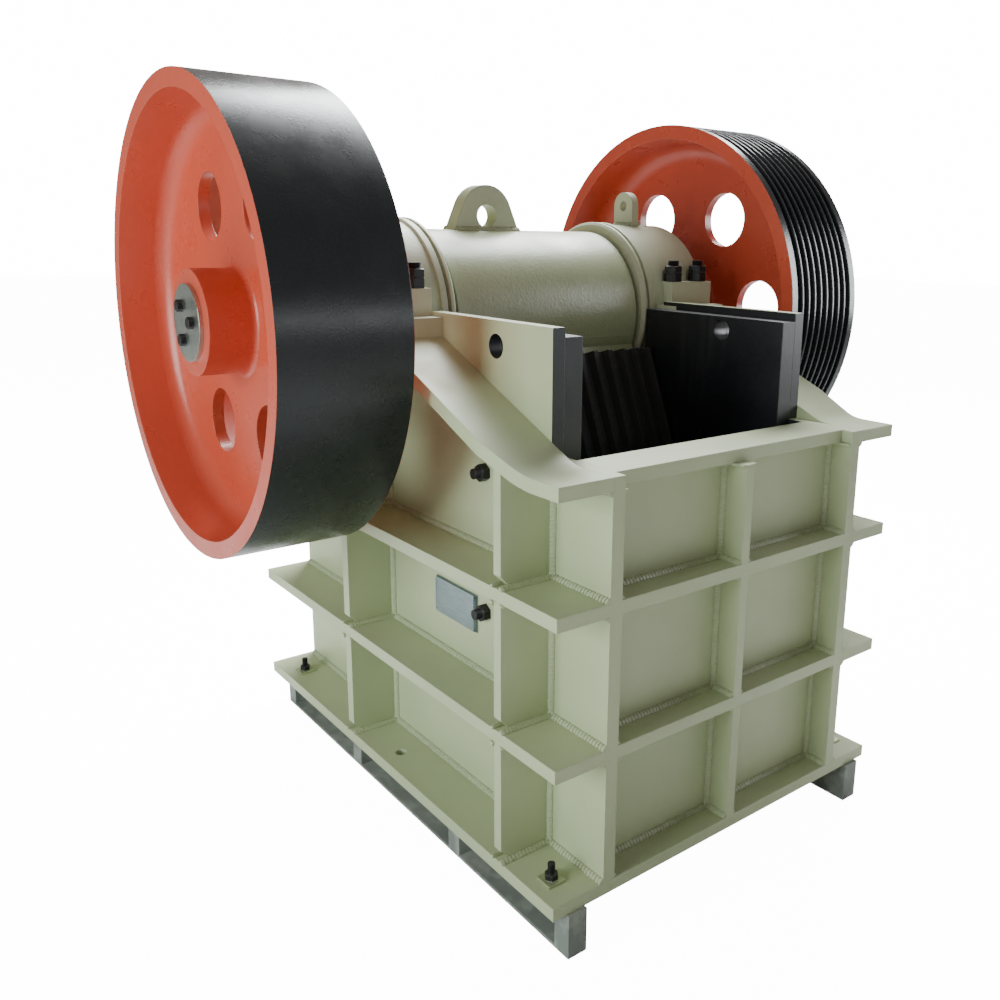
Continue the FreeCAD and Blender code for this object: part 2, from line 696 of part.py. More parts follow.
def wheel(grooved):
    """The right-hand wheel: rim, thin web with round holes, and a long hub."""
    mid_x = (wheel_inner_x + wheel_outer_x) / 2
    web_x0 = mid_x - web_t / 2
    web_x1 = mid_x + web_t / 2
    root_r = wheel_r - rim_t - rim_draft
    lip_r = wheel_r - rim_t + rim_draft
    body = turned([(wheel_inner_x, wheel_r), (wheel_outer_x, wheel_r), (wheel_outer_x, lip_r),
                   (web_x1, root_r), (web_x1, hub_r), (hub_outer_x, hub_r),
                   (hub_outer_x, wheel_shaft_r), (hub_inner_x, wheel_shaft_r),
                   (hub_inner_x, hub_r), (web_x0, hub_r), (web_x0, root_r),
                   (wheel_inner_x, lip_r)])
    body = rounded(body, rim_fillet, [(web_x0, root_r), (web_x1, root_r)])
    body = rounded(body, hub_fillet, [(web_x0, hub_r), (web_x1, hub_r)])
    for i in range(web_hole_count):
        angle = math.radians(360.0 * i / web_hole_count)
        body = body.cut(x_cylinder(web_hole_r, web_x0 - past, web_x1 + past,
                                   shaft_y + web_hole_pitch_r * math.cos(angle),
                                   shaft_z + web_hole_pitch_r * math.sin(angle)))
    if grooved:
        first_x = mid_x - groove_pitch * (groove_count - 1) / 2
        for i in range(groove_count):
            body = body.cut(belt_groove(first_x + i * groove_pitch))
    return body


def end_disc():
    return x_cylinder(end_disc_r, hub_outer_x, hub_outer_x + end_disc_t)


def end_bolts():
    bolts = []
    for i in range(end_bolt_count):
        angle = math.radians(end_bolt_start + 360.0 * i / end_bolt_count)
        base = Vector(hub_outer_x + end_disc_t, shaft_y + end_bolt_pitch_r * math.cos(angle),
                      shaft_z + end_bolt_pitch_r * math.sin(angle))
        bolts.append(hexagon(end_bolt_af, end_bolt_h, base, X_AXIS))
    return Part.makeCompound(bolts)


# ---- base bolts, nameplate and skid ----

def base_bolts():
    bolts = []
    for y in (base_bolt_y[0], base_bolt_y[-1]):
        washer = box(base_bolt_x - base_washer_side / 2, base_bolt_x + base_washer_side / 2,
                     y - base_washer_side / 2, y + base_washer_side / 2,
                     flange_t, flange_t + base_washer_t)
        nut = hexagon(base_nut_af, base_nut_h, Vector(base_bolt_x, y, flange_t + base_washer_t), Z_AXIS)
        shank = z_cylinder(base_bolt_r, base_bolt_x, y, -rail_wall - base_bolt_tail,
                           flange_t + base_washer_t + base_bolt_stick_out)
        bolts.append(joined([washer, nut, shank]))
    return Part.makeCompound(bolts)


def nameplate():
    return box(-body_half_width - nameplate_t, -body_half_width, nameplate_y,
               nameplate_y + nameplate_w, nameplate_z, nameplate_z + nameplate_h)


def skid_rail():
    """Channel under the edge of the base plate, open to the outside, with blocks welded in it."""
    x0 = rail_outer_x - rail_width
    rail = box(x0, rail_outer_x, rail_front_y, rail_rear_y, -skid_h, 0)
    rail = rail.cut(box(x0 + rail_wall, rail_outer_x + past, rail_front_y - past,
                        rail_rear_y + past, -skid_h + rail_wall, -rail_wall))
    blocks = [box(x0 + rail_wall, rail_outer_x, y, y + rail_block_length,
                  -skid_h + rail_wall, -rail_wall) for y in rail_block_y]
    rail = joined([rail] + blocks)
    for y in base_bolt_y:
        rail = rail.cut(z_cylinder(base_hole_r, base_bolt_x, y, -rail_wall - past, past))
    return rail


def skid_cross(y):
    """Channel across the skid, between the webs of the two rails."""
    x1 = rail_outer_x - rail_width
    beam = box(-x1, x1, y, y + cross_width, -skid_h, 0)
    return beam.cut(box(-x1 - past, x1 + past, y + rail_wall, y + cross_width + past,
                        -skid_h + rail_wall, -rail_wall))


# ---- the assembly ----

os.makedirs("parts", exist_ok=True)

export("base_plate", base_plate())
export_pair("side_plate", side_plate())
export("front_wall", front_wall())
export("front_rib_lower", front_cross_rib(lower_rib_z))
export("front_rib_upper", front_cross_rib(upper_rib_z))
export("front_centre_rib", front_centre_rib())
export("front_beam", front_beam())
export_pair("side_level_lower", side_level(lower_rib_z))
export_pair("side_level_upper", side_level(upper_rib_z))
export_pair("top_flange", top_flange())
export_pair("side_rib_front", side_ribs(side_rib_front_y, side_rib_front_t, above_top_flange()))
export_pair("side_rib_rear", side_ribs(side_rib_rear_y, side_rib_rear_t, above_bearing_seat()))
export("rear_wall", rear_wall())
export("rear_beam", rear_beam())
export("toggle_plate", toggle_plate())

export("fixed_jaw_plate", fixed_jaw_plate())
export_pair("cheek_plate", cheek_plate())
export_pair("cheek_bolts", cheek_bolts())

export_pair("bearing_seat", bearing_seat())
export_pair("bearing_cap", bearing_cap())
export_pair("cap_bolts", cap_bolts())
export_pair("cap_eye", cap_eye())
export_pair("seal_ring", seal_ring())

export("eccentric_shaft", eccentric_shaft())
export("flywheel", mirrored(wheel(False)))
export("sheave", wheel(True))
export_pair("end_disc", end_disc())
export_pair("end_bolts", end_bolts())

export("pitman", pitman())
export("pitman_ring", pitman_ring())
export("swing_jaw_plate", swing_jaw_plate())

export("nameplate", nameplate())
export_pair("base_bolts", base_bolts())
export_pair("skid_rail", skid_rail())
for number, y in enumerate(cross_y, 1):
    export("skid_cross_%d" % number, skid_cross(y))
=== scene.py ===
import json
import math

import bpy
from mathutils import Matrix, Vector

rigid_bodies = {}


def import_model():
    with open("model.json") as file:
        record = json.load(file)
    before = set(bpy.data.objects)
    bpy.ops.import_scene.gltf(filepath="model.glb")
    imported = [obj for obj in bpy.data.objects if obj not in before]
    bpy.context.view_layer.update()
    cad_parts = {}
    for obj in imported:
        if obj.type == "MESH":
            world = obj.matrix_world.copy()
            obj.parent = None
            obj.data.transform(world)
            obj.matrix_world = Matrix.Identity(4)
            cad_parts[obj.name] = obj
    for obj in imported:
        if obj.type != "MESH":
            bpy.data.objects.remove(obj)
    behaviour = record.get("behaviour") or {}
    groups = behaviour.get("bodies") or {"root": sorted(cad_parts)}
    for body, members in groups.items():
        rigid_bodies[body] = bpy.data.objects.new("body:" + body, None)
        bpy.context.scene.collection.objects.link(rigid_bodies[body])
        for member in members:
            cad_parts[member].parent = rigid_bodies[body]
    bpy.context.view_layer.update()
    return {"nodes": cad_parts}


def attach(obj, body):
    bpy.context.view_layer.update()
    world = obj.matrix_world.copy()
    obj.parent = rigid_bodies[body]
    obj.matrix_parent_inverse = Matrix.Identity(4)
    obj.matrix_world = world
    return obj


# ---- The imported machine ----
# A jaw crusher on its shipping rails. Every steel piece comes from the frame; what follows gives
# each one its finish and adds the welds, rivets and grease nipples that a fitter would see.
for leftover in list(bpy.data.objects):
    bpy.data.objects.remove(leftover)

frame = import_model()
nodes = frame["nodes"]

bpy.ops.object.select_all(action="DESELECT")

# ---- Painted box frame ----
# Thick steel plates welded into a ribbed box, sprayed in one coat of pale grey-green enamel. The
# spray leaves a fine peel, the paint thins and lightens on edges, and dust lies on the levels.
BODY_GREEN = (0.462, 0.510, 0.318, 1.0)
BODY_EDGE = (0.63, 0.67, 0.49, 1.0)
BODY_DUST = (0.46, 0.43, 0.31, 1.0)


def shared_group(name, inputs, outputs):
    """An empty shader node group with the named inputs and their values, and named outputs."""
    group = bpy.data.node_groups.new(name, "ShaderNodeTree")
    for label, value in inputs.items():
        socket = group.interface.new_socket(label, in_out="INPUT", socket_type="NodeSocketFloat")
        socket.default_value = value
    for label, kind in outputs.items():
        group.interface.new_socket(label, in_out="OUTPUT", socket_type=kind)
    return group, group.nodes.new("NodeGroupInput"), group.nodes.new("NodeGroupOutput")


def put(tree, kind, settings, inputs):
    """Add a node to tree, set its properties, and fill or link its inputs."""
    node = tree.nodes.new(kind)
    for key, value in settings.items():
        setattr(node, key, value)
    for key, value in inputs.items():
        if isinstance(value, bpy.types.NodeSocket):
            tree.links.new(value, node.inputs[key])
        else:
            node.inputs[key].default_value = value
    return node


def work_out(tree, operation, first, second):
    """A Math node's result."""
    return put(tree, "ShaderNodeMath", {"operation": operation}, {0: first, 1: second}).outputs[0]


def spread(tree, value, low, high, new_low, new_high):
    """value carried from low..high to new_low..new_high, and held there past the ends."""
    return put(tree, "ShaderNodeMapRange", {},
               {"Value": value, "From Min": low, "From Max": high,
                "To Min": new_low, "To Max": new_high}).outputs["Result"]


def tinted(tree, factor, first, second):
    """A colour between first and second."""
    mix = put(tree, "ShaderNodeMix", {"data_type": "RGBA"}, {0: factor, 6: first, 7: second})
    return mix.outputs[2]


def clouds(tree, scale, detail):
    """Noise over the surface, in the piece's own coordinates."""
    place = tree.nodes.new("ShaderNodeTexCoord").outputs["Object"]
    return put(tree, "ShaderNodeTexNoise", {},
               {"Vector": place, "Scale": scale, "Detail": detail}).outputs["Fac"]


# Corners of every plate and casting are slightly rounded under the paint.
edge_group, edge_in, edge_out = shared_group(
    "rounded_edges", {"Radius": 0.003}, {"Edge": "NodeSocketFloat", "Normal": "NodeSocketVector"})
edge_round = put(edge_group, "ShaderNodeBevel", {"samples": 4}, {"Radius": edge_in.outputs["Radius"]})
edge_true = edge_group.nodes.new("ShaderNodeNewGeometry")
edge_match = put(edge_group, "ShaderNodeVectorMath", {"operation": "DOT_PRODUCT"},
                 {0: edge_round.outputs["Normal"], 1: edge_true.outputs["Normal"]})
edge_turn = spread(edge_group, edge_match.outputs["Value"], 0.99, 0.80, 0.0, 1.0)
edge_chips = spread(edge_group, clouds(edge_group, 60.0, 4.0), 0.40, 0.62, 0.25, 1.0)
edge_group.links.new(work_out(edge_group, "MULTIPLY", edge_turn, edge_chips), edge_out.inputs["Edge"])
edge_group.links.new(edge_round.outputs["Normal"], edge_out.inputs["Normal"])

# Dust settles in patches on what faces up.
dust_group, dust_in, dust_out = shared_group(
    "settled_dust", {"Amount": 0.5}, {"Mask": "NodeSocketFloat"})
dust_true = dust_group.nodes.new("ShaderNodeNewGeometry")
dust_up = put(dust_group, "ShaderNodeSeparateXYZ", {}, {"Vector": dust_true.outputs["Normal"]})
dust_flat = spread(dust_group, dust_up.outputs["Z"], 0.55, 1.0, 0.0, 1.0)
dust_patch = spread(dust_group, clouds(dust_group, 7.0, 6.0), 0.38, 0.72, 0.1, 1.0)
dust_lying = work_out(dust_group, "MULTIPLY", dust_flat, dust_patch)
dust_group.links.new(work_out(dust_group, "MULTIPLY", dust_lying, dust_in.outputs["Amount"]),
                     dust_out.inputs["Mask"])

# The skin under the paint: a sprayed peel, and on castings the grain of the sand mould as well.
skin_group, skin_in, skin_out = shared_group(
    "peel_and_sand", {"Peel": 0.5, "Sand": 0.0}, {"Height": "NodeSocketFloat"})
skin_peel = work_out(skin_group, "MULTIPLY", clouds(skin_group, 240.0, 2.0), skin_in.outputs["Peel"])
skin_grain = work_out(skin_group, "ADD", clouds(skin_group, 130.0, 5.0), clouds(skin_group, 22.0, 3.0))
skin_sand = work_out(skin_group, "MULTIPLY", skin_grain, skin_in.outputs["Sand"])
skin_group.links.new(work_out(skin_group, "ADD", skin_peel, skin_sand), skin_out.inputs["Height"])


def enamel(name, colour, edge_colour, dust_colour, roughness, sand=0.0, dust=0.35, edge=0.5):
    """Sprayed paint over plate or casting. Returns the material, its tree and its shader."""
    material = bpy.data.materials.new(name)
    material.use_nodes = True
    tree = material.node_tree
    shader = tree.nodes["Principled BSDF"]
    edges = put(tree, "ShaderNodeGroup", {"node_tree": edge_group}, {"Radius": 0.003})
    lying = put(tree, "ShaderNodeGroup", {"node_tree": dust_group}, {"Amount": dust})
    skin = put(tree, "ShaderNodeGroup", {"node_tree": skin_group}, {"Peel": 0.35, "Sand": sand})
    deep = tuple(0.90 * part for part in colour[:3]) + (1.0,)
    coat = tinted(tree, spread(tree, clouds(tree, 2.3, 4.0), 0.35, 0.65, 0.0, 1.0), deep, colour)
    worn = tinted(tree, work_out(tree, "MULTIPLY", edges.outputs["Edge"], edge), coat, edge_colour)
    top_coat = tree.nodes.new("NodeReroute")
    top_coat.name = "top_coat"
    tree.links.new(worn, top_coat.inputs[0])
    dusty = tinted(tree, lying.outputs["Mask"], top_coat.outputs[0], dust_colour)
    tree.links.new(dusty, shader.inputs["Base Color"])
    uneven = spread(tree, clouds(tree, 11.0, 4.0), 0.3, 0.7, roughness - 0.05, roughness + 0.07)
    matt = work_out(tree, "MULTIPLY", lying.outputs["Mask"], 0.5)
    tree.links.new(work_out(tree, "ADD", uneven, matt), shader.inputs["Roughness"])
    bump = put(tree, "ShaderNodeBump", {}, {"Strength": 0.6, "Distance": 0.0012,
                                            "Height": skin.outputs["Height"],
                                            "Normal": edges.outputs["Normal"]})
    tree.links.new(bump.outputs["Normal"], shader.inputs["Normal"])
    return material, tree, shader


def repaint(tree, shader, mask, colour, roughness):
    """A second paint where mask is 1, sprayed over the first coat."""
    top_coat = tree.nodes["top_coat"]
    over = tinted(tree, mask, top_coat.inputs[0].links[0].from_socket, colour)
    tree.links.new(over, top_coat.inputs[0])
    first = shader.inputs["Roughness"].links[0].from_socket
    mix = put(tree, "ShaderNodeMix", {"data_type": "FLOAT"}, {0: mask, 2: first, 3: roughness})
    tree.links.new(mix.outputs[0], shader.inputs["Roughness"])


def finish(material, *names):
    """Give the named pieces of the frame this material."""
    for name in names:
        nodes[name].material_slots[0].material = material


def both(name):
    return name + "_left", name + "_right"


plate_paint = enamel("body_enamel", BODY_GREEN, BODY_EDGE, BODY_DUST, 0.40)[0]
finish(plate_paint, "base_plate", "front_wall", "front_rib_lower", "front_rib_upper",
       "front_centre_rib", "front_beam", "rear_wall", "rear_beam", *both("side_level_lower"),
       *both("side_level_upper"), *both("top_flange"), *both("side_rib_front"),
       *both("side_rib_rear"))

# ---- Side plates ----
# Two tall flame-cut plates that carry the bearings. Outside they wear the frame's enamel; inside,
# and on their front ends above the flange, they are black like the chute they belong to.
CHUTE_BLACK = (0.012, 0.014, 0.019, 1.0)
PLATE_INNER_X = 0.3588
PLATE_FRONT_Y = -0.5295
FLANGE_TOP_Z = 0.9985
CHAMBER_Y = -0.640         # behind the front wall
SIGHT_HOLE = (0.0, -0.332, 1.205)
SIGHT_HOLE_R = 0.0265      # its wall is black too

side_paint, side_tree, side_shader = enamel("side_plate_enamel", BODY_GREEN, BODY_EDGE, BODY_DUST, 0.38)
side_place = side_tree.nodes.new("ShaderNodeTexCoord").outputs["Object"]
side_at = put(side_tree, "ShaderNodeSeparateXYZ", {}, {"Vector": side_place})
side_out = work_out(side_tree, "ABSOLUTE", side_at.outputs["X"], 0.0)
side_inside = work_out(side_tree, "MULTIPLY", work_out(side_tree, "LESS_THAN", side_out, PLATE_INNER_X),
                       work_out(side_tree, "GREATER_THAN", side_at.outputs["Y"], CHAMBER_Y))
side_front = work_out(side_tree, "LESS_THAN", side_at.outputs["Y"], PLATE_FRONT_Y)
side_above = work_out(side_tree, "GREATER_THAN", side_at.outputs["Z"], FLANGE_TOP_Z)
side_end = work_out(side_tree, "MULTIPLY", side_front, side_above)
side_view = put(side_tree, "ShaderNodeVectorMath", {"operation": "MULTIPLY"},
                {0: side_place, 1: (0.0, 1.0, 1.0)})
side_near = put(side_tree, "ShaderNodeVectorMath", {"operation": "DISTANCE"},
                {0: side_view.outputs["Vector"], 1: SIGHT_HOLE})
side_bore = work_out(side_tree, "LESS_THAN", side_near.outputs["Value"], SIGHT_HOLE_R)
side_chute = work_out(side_tree, "MAXIMUM", side_inside, side_end)
side_black = work_out(side_tree, "MAXIMUM", side_chute, side_bore)
repaint(side_tree, side_shader, side_black, CHUTE_BLACK, 0.42)
finish(side_paint, *both("side_plate"))

# ---- Cheek plates ----
# Wear plates bolted inside the side plates along the chamber, painted satin black. Stone dust
# greys the black in streaks, and the bolts come out through the side plates with a nut each.
CHUTE_EDGE = (0.035, 0.037, 0.042, 1.0)
CHUTE_DUST = (0.11, 0.105, 0.095, 1.0)
CHUTE_STREAK = (0.05, 0.05, 0.048, 1.0)

cheek_paint, cheek_tree, cheek_shader = enamel(
    "chute_black", CHUTE_BLACK, CHUTE_EDGE, CHUTE_DUST, 0.40, dust=0.25, edge=0.8)
cheek_place = put(cheek_tree, "ShaderNodeMapping", {},
                  {"Vector": cheek_tree.nodes.new("ShaderNodeTexCoord").outputs["Object"],
                   "Scale": (30.0, 30.0, 3.0)})
cheek_streak = put(cheek_tree, "ShaderNodeTexNoise", {},
                   {"Vector": cheek_place.outputs["Vector"], "Scale": 1.0, "Detail": 5.0})
repaint(cheek_tree, cheek_shader,
        spread(cheek_tree, cheek_streak.outputs["Fac"], 0.55, 0.80, 0.0, 0.5),
        CHUTE_STREAK, 0.55)
finish(cheek_paint, *both("cheek_plate"))

# ---- Welds of the box frame ----
# Fillet welds in the inside corners of the pockets, laid by hand in short overlapping ripples and
# painted over with the frame. One ripple is shaped, then run along each seam.
WELD_LEG = 0.011
WELD_PITCH = 0.009

bpy.ops.mesh.primitive_cube_add(size=1.0, location=(0.5, 0.5, 0.5))
ripple = bpy.context.object
ripple.name = "weld_ripple"
ripple.scale = (WELD_LEG, WELD_LEG, WELD_PITCH)
ripple.location = (WELD_LEG / 2, WELD_LEG / 2, WELD_PITCH / 2)
bpy.ops.object.transform_apply(location=True, rotation=False, scale=True)
bpy.ops.object.mode_set(mode="EDIT")
bpy.ops.mesh.select_all(action="DESELECT")
bpy.ops.object.mode_set(mode="OBJECT")
for corner in ripple.data.vertices:
    corner.select = corner.co.x > WELD_LEG / 2 and corner.co.y > WELD_LEG / 2
bpy.ops.object.mode_set(mode="EDIT")
bpy.ops.transform.translate(value=(-0.36 * WELD_LEG, -0.36 * WELD_LEG, 0.0))
bpy.ops.mesh.bevel(offset=0.3 * WELD_LEG, segments=2, affect="EDGES")
bpy.ops.mesh.select_all(action="DESELECT")
bpy.ops.object.mode_set(mode="OBJECT")
for face in ripple.data.polygons:
    face.select = face.normal.z > 0.9
bpy.ops.object.mode_set(mode="EDIT")
bpy.ops.transform.resize(value=(0.84, 0.84, 1.0), center_override=(0.0, 0.0, WELD_PITCH))
bpy.ops.object.mode_set(mode="OBJECT")
ripple.select_set(False)


def lay_weld(start, end, first_plate, second_plate):
    """A run of ripples from start to end, in the corner between two plates that go off in the
    directions given."""
    start, end = Vector(start), Vector(end)
    along = (end - start).normalized()
    first, second = Vector(first_plate).normalized(), Vector(second_plate).normalized()
    if first.cross(second).dot(along) < 0.0:
        first, second = second, first
    run = ripple.copy()
    run.data = ripple.data.copy()
    bpy.context.scene.collection.objects.link(run)
    bpy.context.view_layer.objects.active = run
    row = run.modifiers.new("row", "ARRAY")
    row.count = max(2, round((end - start).length / WELD_PITCH))
    row.use_relative_offset = False
    row.use_constant_offset = True
    row.constant_offset_displace = (0.0, 0.0, WELD_PITCH)
    bpy.ops.object.modifier_apply(modifier="row")
    frame_of_run = Matrix((first, second, along)).transposed().to_4x4()
    run.data.transform(Matrix.Translation(start) @ frame_of_run)
    return run


def join_welds(name, runs, material, body):
    """One piece of all the runs, roughened a little so that no two ripples are alike."""
    bpy.ops.object.select_all(action="DESELECT")
    for run in runs:
        run.select_set(True)
    bpy.context.view_layer.objects.active = runs[0]
    bpy.ops.object.join()
    welds = bpy.context.object
    welds.name = name
    bpy.ops.object.mode_set(mode="EDIT")
    bpy.ops.mesh.select_all(action="SELECT")
    bpy.ops.transform.vertex_random(offset=0.0006, seed=7)
    bpy.ops.object.mode_set(mode="OBJECT")
    welds.data.materials.append(material)
    welds.select_set(False)
    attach(welds, body)
    return welds


weld_paint = enamel("weld_enamel", BODY_GREEN, BODY_EDGE, BODY_DUST, 0.60, sand=0.3, dust=0.5)[0]

PLATE_X = 0.389            # outer face of a side plate
RIB_X = 0.520              # outer edge of the ribs
LEVELS = ((0.129, 0.405), (0.434, 0.718), (0.747, 0.969))
BAYS = ((-0.720, -0.538), (-0.513, 0.149), (0.179, 0.696))
RIB_FACES = (-0.538, -0.513, 0.149, 0.179)
SLOPE = math.radians(23.0)
SLOPE_START = (-0.580, 0.9785)     # (y, z) where the underside of the sloping flange begins
SLOPE_END_Y = -0.120
SLOPE_END_Z = SLOPE_START[1] + (SLOPE_END_Y - SLOPE_START[0]) * math.tan(SLOPE)
FLANGE_FRONT_Y = -0.720            # the level stretch of the top flange, before it slopes
FLANGE_KNEE_Y = -0.640
FLANGE_UNDER_Z = 0.969
SECOND_RIB_TOP_Z = 0.989           # the ribs end under the slope
REAR_RIB_TOP_Z = 0.995

for side, word in ((-1, "left"), (1, "right")):
    runs = []
    out = (side, 0, 0)
    x = side * PLATE_X
    for level, (low, high) in enumerate(LEVELS):
        for bay, (y0, y1) in enumerate(BAYS):
            if level < 2 or bay < 2:
                runs.append(lay_weld((x, y0, low), (x, y1, low), out, (0, 0, 1)))
            if level < 2:
                runs.append(lay_weld((x, y0, high), (x, y1, high), out, (0, 0, -1)))
        for y, away in zip(RIB_FACES, (-1, 1, -1, 1)):
            top = high
            if level == 2 and y > 0:
                top = REAR_RIB_TOP_Z
            elif level == 2 and away > 0:
                top = SECOND_RIB_TOP_Z
            runs.append(lay_weld((x, y, low), (x, y, top), out, (0, away, 0)))
            runs.append(lay_weld((x, y, low), (side * RIB_X, y, low), (0, away, 0), (0, 0, 1)))
            if level < 2:
                runs.append(lay_weld((x, y, high), (side * RIB_X, y, high), (0, away, 0), (0, 0, -1)))
    runs.append(lay_weld((x, FLANGE_FRONT_Y, FLANGE_UNDER_Z), (x, FLANGE_KNEE_Y, FLANGE_UNDER_Z),
                         out, (0, 0, -1)))
    runs.append(lay_weld((x, SLOPE_START[0], SLOPE_START[1]), (x, SLOPE_END_Y, SLOPE_END_Z),
                         out, (0, math.sin(SLOPE), -math.cos(SLOPE))))
    join_welds("welds_" + word, runs, weld_paint, "frame")

# The front pockets between the side plates, the levels and the middle rib.
WALL_Y = -0.655
FRONT_Y = -0.720
POCKETS_X = ((-0.358, -0.012), (0.012, 0.358))
runs = []
for low, high in LEVELS:
    for x0, x1 in POCKETS_X:
        for z, away in ((low, 1), (high, -1)):
            runs.append(lay_weld((x0, WALL_Y, z), (x1, WALL_Y, z), (0, -1, 0), (0, 0, away)))
            runs.append(lay_weld((x0, WALL_Y, z), (x0, FRONT_Y, z), (1, 0, 0), (0, 0, away)))
            runs.append(lay_weld((x1, WALL_Y, z), (x1, FRONT_Y, z), (-1, 0, 0), (0, 0, away)))
        runs.append(lay_weld((x0, WALL_Y, low), (x0, WALL_Y, high), (1, 0, 0), (0, -1, 0)))
        runs.append(lay_weld((x1, WALL_Y, low), (x1, WALL_Y, high), (-1, 0, 0), (0, -1, 0)))
join_welds("welds_front", runs, weld_paint, "frame")

# ---- Bearing housings ----
# Cast seats and caps, bored for the bearings and painted over the sand-cast skin, with a grooved
# cover ring on the side of the swing jaw.
HOUSING_GREEN = (0.540, 0.570, 0.410, 1.0)
housing_paint = enamel(
    "housing_enamel", HOUSING_GREEN, BODY_EDGE, BODY_DUST, 0.38, sand=0.55, dust=0.25)[0]
finish(housing_paint, *both("bearing_seat"), *both("bearing_cap"), *both("seal_ring"),
       *both("cap_eye"))

# ---- Swing jaw casting ----
# One heavy steel casting round the eccentric, painted with the frame. Its lifting ring is welded
# across the top of the barrel.
jaw_paint = enamel(
    "swing_jaw_enamel", BODY_GREEN, BODY_EDGE, BODY_DUST, 0.33, sand=0.65, dust=0.2)[0]
finish(jaw_paint, "pitman", "pitman_ring")

RING_X = -0.072
RING_FOOT = 0.103
RING_HALF = 0.0225
BARREL_TOP_Z = 1.4458      # surface of the barrel beside the ring's foot
SHAFT_Y = 0.195
runs = []
for away in (-1, 1):
    y = SHAFT_Y + away * RING_HALF
    runs.append(lay_weld((RING_X - RING_FOOT, y, BARREL_TOP_Z), (RING_X + RING_FOOT, y, BARREL_TOP_Z),
                         (0, away, -0.1), (0, 0, 1)))
join_welds("welds_ring", runs, weld_paint, "pitman")

# ---- Welds of the lifting eyes ----
# A short run on each face of an eye plate, where it stands on the round top of its bearing cap.
EYE_X = 0.445
EYE_HALF = 0.0125
EYE_REACH = 0.036
CAP_TOP_Z = 1.4675
runs = []
for side in (-1, 1):
    for away in (-1, 1):
        x = side * EYE_X + away * EYE_HALF
        runs.append(lay_weld((x, SHAFT_Y - EYE_REACH, CAP_TOP_Z), (x, SHAFT_Y + EYE_REACH, CAP_TOP_Z),
                             (away, 0, 0), (0, 0, 1)))
join_welds("welds_eyes", runs, weld_paint, "frame")

# ---- Grease nipples ----
# A steel nipple screwed into each bearing cap behind the lifting eye, with a hexagon and a ball
# end for the grease gun.
NIPPLE_R = 0.006
NIPPLE_DULL = (0.30, 0.29, 0.26, 1.0)
NIPPLE_BRIGHT = (0.62, 0.60, 0.54, 1.0)
bpy.ops.mesh.primitive_cylinder_add(vertices=6, radius=NIPPLE_R, depth=0.006, location=(0.0, 0.0, 0.003))
nipple = bpy.context.object
bpy.ops.object.mode_set(mode="EDIT")
bpy.ops.mesh.select_all(action="DESELECT")
bpy.ops.object.mode_set(mode="OBJECT")
for face in nipple.data.polygons:
    face.select = face.normal.z > 0.9
bpy.ops.object.mode_set(mode="EDIT")
bpy.ops.mesh.inset(thickness=0.0022)
bpy.ops.mesh.extrude_region_move(TRANSFORM_OT_translate={"value": (0.0, 0.0, 0.005)})
bpy.ops.transform.resize(value=(0.6, 0.6, 1.0))
bpy.ops.mesh.extrude_region_move(TRANSFORM_OT_translate={"value": (0.0, 0.0, 0.002)})
bpy.ops.transform.resize(value=(1.6, 1.6, 1.0))
bpy.ops.mesh.extrude_region_move(TRANSFORM_OT_translate={"value": (0.0, 0.0, 0.002)})
bpy.ops.transform.resize(value=(0.5, 0.5, 1.0))
bpy.ops.object.mode_set(mode="OBJECT")
nipple.modifiers.new("softened", "BEVEL").width = 0.0004
bpy.ops.object.modifier_apply(modifier="softened")
nipple.location = (-0.500, SHAFT_Y, 1.4685)
bpy.ops.object.transform_apply(location=True, rotation=False, scale=False)

nipple_steel = bpy.data.materials.new("nipple_steel")
nipple_steel.use_nodes = True
nipple_tree = nipple_steel.node_tree
nipple_shader = nipple_tree.nodes["Principled BSDF"]
nipple_shader.inputs["Metallic"].default_value = 1.0
nipple_tree.links.new(
    tinted(nipple_tree, clouds(nipple_tree, 300.0, 3.0), NIPPLE_DULL, NIPPLE_BRIGHT),
    nipple_shader.inputs["Base Color"])
nipple_tree.links.new(spread(nipple_tree, clouds(nipple_tree, 180.0, 2.0), 0.3, 0.7, 0.25, 0.5),
                      nipple_shader.inputs["Roughness"])
nipple.data.materials.append(nipple_steel)

other_nipple = nipple.copy()
other_nipple.data = nipple.data.copy()
other_nipple.data.transform(Matrix.Translation((1.0, 0.0, 0.0)))
bpy.context.scene.collection.objects.link(other_nipple)
for piece, word in ((nipple, "left"), (other_nipple, "right")):
    piece.name = "grease_nipple_" + word
    piece.select_set(False)
    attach(piece, "frame")

# ---- Bolts and nuts ----
# Blackened steel studs and nuts. Rolled threads show where a stud stands out of its nut; the
# square washers of the base bolts are sprayed over with the frame.
BOLT_BLACK = (0.020, 0.020, 0.022, 1.0)
BOLT_WORN = (0.12, 0.115, 0.105, 1.0)
BOLT_DUST = (0.20, 0.18, 0.15, 1.0)
CAP_NUT_Z = 1.358          # outer faces of the nuts, where the bare threads begin
CHEEK_NUT_X = 0.4085
BASE_NUT_Z = 0.149
NO_THREAD = 2.0            # beyond the machine: the screws on the shaft ends show only heads
WASHER_BOTTOM_Z, WASHER_TOP_Z = 0.1285, 0.1352


